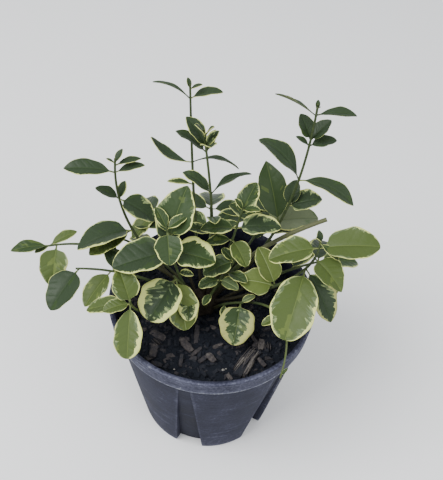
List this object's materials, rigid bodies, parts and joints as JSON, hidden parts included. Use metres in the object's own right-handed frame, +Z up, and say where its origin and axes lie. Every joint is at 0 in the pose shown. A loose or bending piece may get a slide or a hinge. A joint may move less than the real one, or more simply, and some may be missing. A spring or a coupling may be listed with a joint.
{
  "type": "potted variegated periwinkle",
  "caption": "Leafy trailing shrub with cream-edged oval leaves on thin upright stems, in a round tapered nursery pot filled with potting bark.",
  "frame": {"origin": "centre of the pot's flat underside", "axes": "+Z up out of the pot, -Y towards the side that the picture shows, +X to the right of that view"},
  "size_m": [0.3041, 0.2135, 0.341],
  "materials": {
    "pot_plastic": "matt, slightly scuffed",
    "potting_bark": "damp coarse bark",
    "woody_crown": "rough bark",
    "green_stem": "smooth young stem",
    "leaf": "glossy leaf with a cream margin"
  },
  "bodies": {
    "root": {"crown": "woody_crown", "cut_stem": "green_stem", "leaves_back_left": "leaf", "leaves_back_middle": "leaf", "leaves_back_right": "leaf", "leaves_behind_inner": "leaf", "leaves_broad": "leaf", "leaves_far_left": "leaf", "leaves_front": "leaf", "leaves_front_left": "leaf", "leaves_heart_high": "leaf", "leaves_heart_low": "leaf", "leaves_inner": "leaf", "leaves_left": "leaf", "leaves_left_front": "leaf", "leaves_middle": "leaf", "leaves_right": "leaf", "leaves_runner": "leaf", "leaves_side_left": "leaf", "leaves_side_right": "leaf", "leaves_tall_back": "leaf", "leaves_tall_left": "leaf", "leaves_tall_right": "leaf", "pot": "pot_plastic", "potting_bark": "potting_bark", "stem_back_left": "green_stem", "stem_back_middle": "green_stem", "stem_back_right": "green_stem", "stem_behind_inner": "green_stem", "stem_broad": "green_stem", "stem_far_left": "green_stem", "stem_front": "green_stem", "stem_front_left": "green_stem", "stem_heart_high": "green_stem", "stem_heart_low": "green_stem", "stem_inner": "green_stem", "stem_left": "green_stem", "stem_left_front": "green_stem", "stem_middle": "green_stem", "stem_right": "green_stem", "stem_runner": "green_stem", "stem_side_left": "green_stem", "stem_side_right": "green_stem", "stem_tall_back": "green_stem", "stem_tall_left": "green_stem", "stem_tall_right": "green_stem"}
  },
  "joints": []
}
